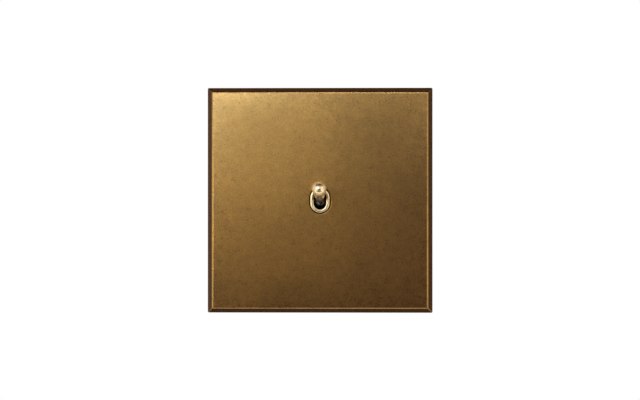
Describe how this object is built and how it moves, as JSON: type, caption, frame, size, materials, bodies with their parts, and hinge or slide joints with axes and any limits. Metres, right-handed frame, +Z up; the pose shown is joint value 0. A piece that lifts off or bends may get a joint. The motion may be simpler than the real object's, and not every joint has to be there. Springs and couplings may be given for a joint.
{
  "type": "dolly switch",
  "caption": "Wall switch with a square bevelled brass plate, a small ball-ended brass dolly in a ring, and a body with terminals behind it.",
  "frame": {"origin": "middle of the wall face, on the plane where the plate's rim lies on the wall", "axes": "+Z up, -Y out of the wall towards the person, +X to the right as the plate is seen"},
  "size_m": [0.086, 0.0454, 0.086],
  "materials": {
    "antique_brass": "solid brass, satin, with a brown bronze patina",
    "polished_brass": "turned and polished brass",
    "terminal_brass": "plain machined brass",
    "black_moulding": "glossy black moulded thermoset",
    "body_moulding": "black moulded thermoset",
    "slide_moulding": "natural white nylon",
    "zinc_steel": "zinc-plated pressed steel",
    "screw_steel": "zinc-plated steel",
    "pin_steel": "ground steel",
    "spring_steel": "spring steel",
    "magnet_nickel": "nickel-plated magnet",
    "contact_silver": "silver contact"
  },
  "bodies": {
    "base": {"front_plate": "antique_brass", "plate_magnets": "magnet_nickel", "support_frame": "zinc_steel", "bezel": "polished_brass", "bezel_screws": "screw_steel", "pivot_pin": "pin_steel", "front_housing": "body_moulding", "rear_housing": "body_moulding", "housing_rivets": "terminal_brass", "module_screws": "screw_steel", "detent_spring": "spring_steel", "common_contact": "terminal_brass", "lower_contact": "terminal_brass", "upper_contact": "terminal_brass", "common_terminal": "terminal_brass", "lower_terminal": "terminal_brass", "upper_terminal": "terminal_brass", "terminal_screws": "screw_steel", "earth_terminal": "terminal_brass", "earth_screw": "screw_steel"},
    "lever": {"dolly": "polished_brass", "rocker": "black_moulding"},
    "slide": {"contact_carriage": "slide_moulding", "moving_contact": "terminal_brass", "contact_pads": "contact_silver", "contact_spring": "spring_steel"}
  },
  "joints": [
    {"name": "dolly_tilt", "type": "hinge", "parent": "base", "child": "lever", "pos_m": [0, -0.0014, 0], "axis": [1, 0, 0], "range_deg": [0, 26]},
    {"name": "carriage_slide", "type": "slide", "parent": "base", "child": "slide", "axis": [0, 0, 1], "range_m": [0, 0.00338], "deforming": ["detent_spring"]}
  ],
  "couplings": [
    {"joint": "carriage_slide", "follows": "dolly_tilt", "m_per_rad": 0.0074358}
  ]
}
